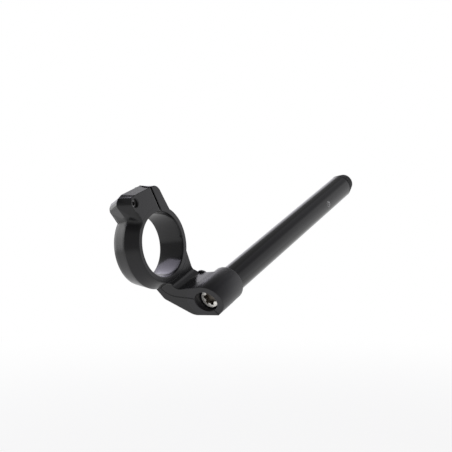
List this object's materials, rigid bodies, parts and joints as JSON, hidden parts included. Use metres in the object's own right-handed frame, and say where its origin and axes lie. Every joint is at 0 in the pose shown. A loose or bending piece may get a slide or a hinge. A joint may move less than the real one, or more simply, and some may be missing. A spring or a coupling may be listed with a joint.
{
  "type": "clip-on handlebar",
  "caption": "Clip-on handlebar for a motorcycle fork: split ring clamp with an arm and holder that carry a straight round bar with a tapered tip.",
  "frame": {"origin": "centre of the fork clamp's bore, at mid height of the ring", "axes": "+Z along the fork towards the clamp's near face, +X from the fork to the bar, +Y along the bar towards its open tip"},
  "size_m": [0.1119, 0.3042, 0.0581],
  "materials": {
    "black_anodised": "satin black anodised",
    "black_tube": "semi-gloss black anodised",
    "plain_aluminium": "turned",
    "bright_steel": "bright zinc",
    "black_steel": "black oxide"
  },
  "bodies": {
    "root": {"clamp_body": "black_anodised", "bar_tube": "black_tube", "tube_plug": "plain_aluminium", "bar_bolt": "bright_steel", "pinch_bolt": "black_steel", "stop_screw": "black_steel", "bracket_screw": "black_steel"}
  },
  "joints": []
}
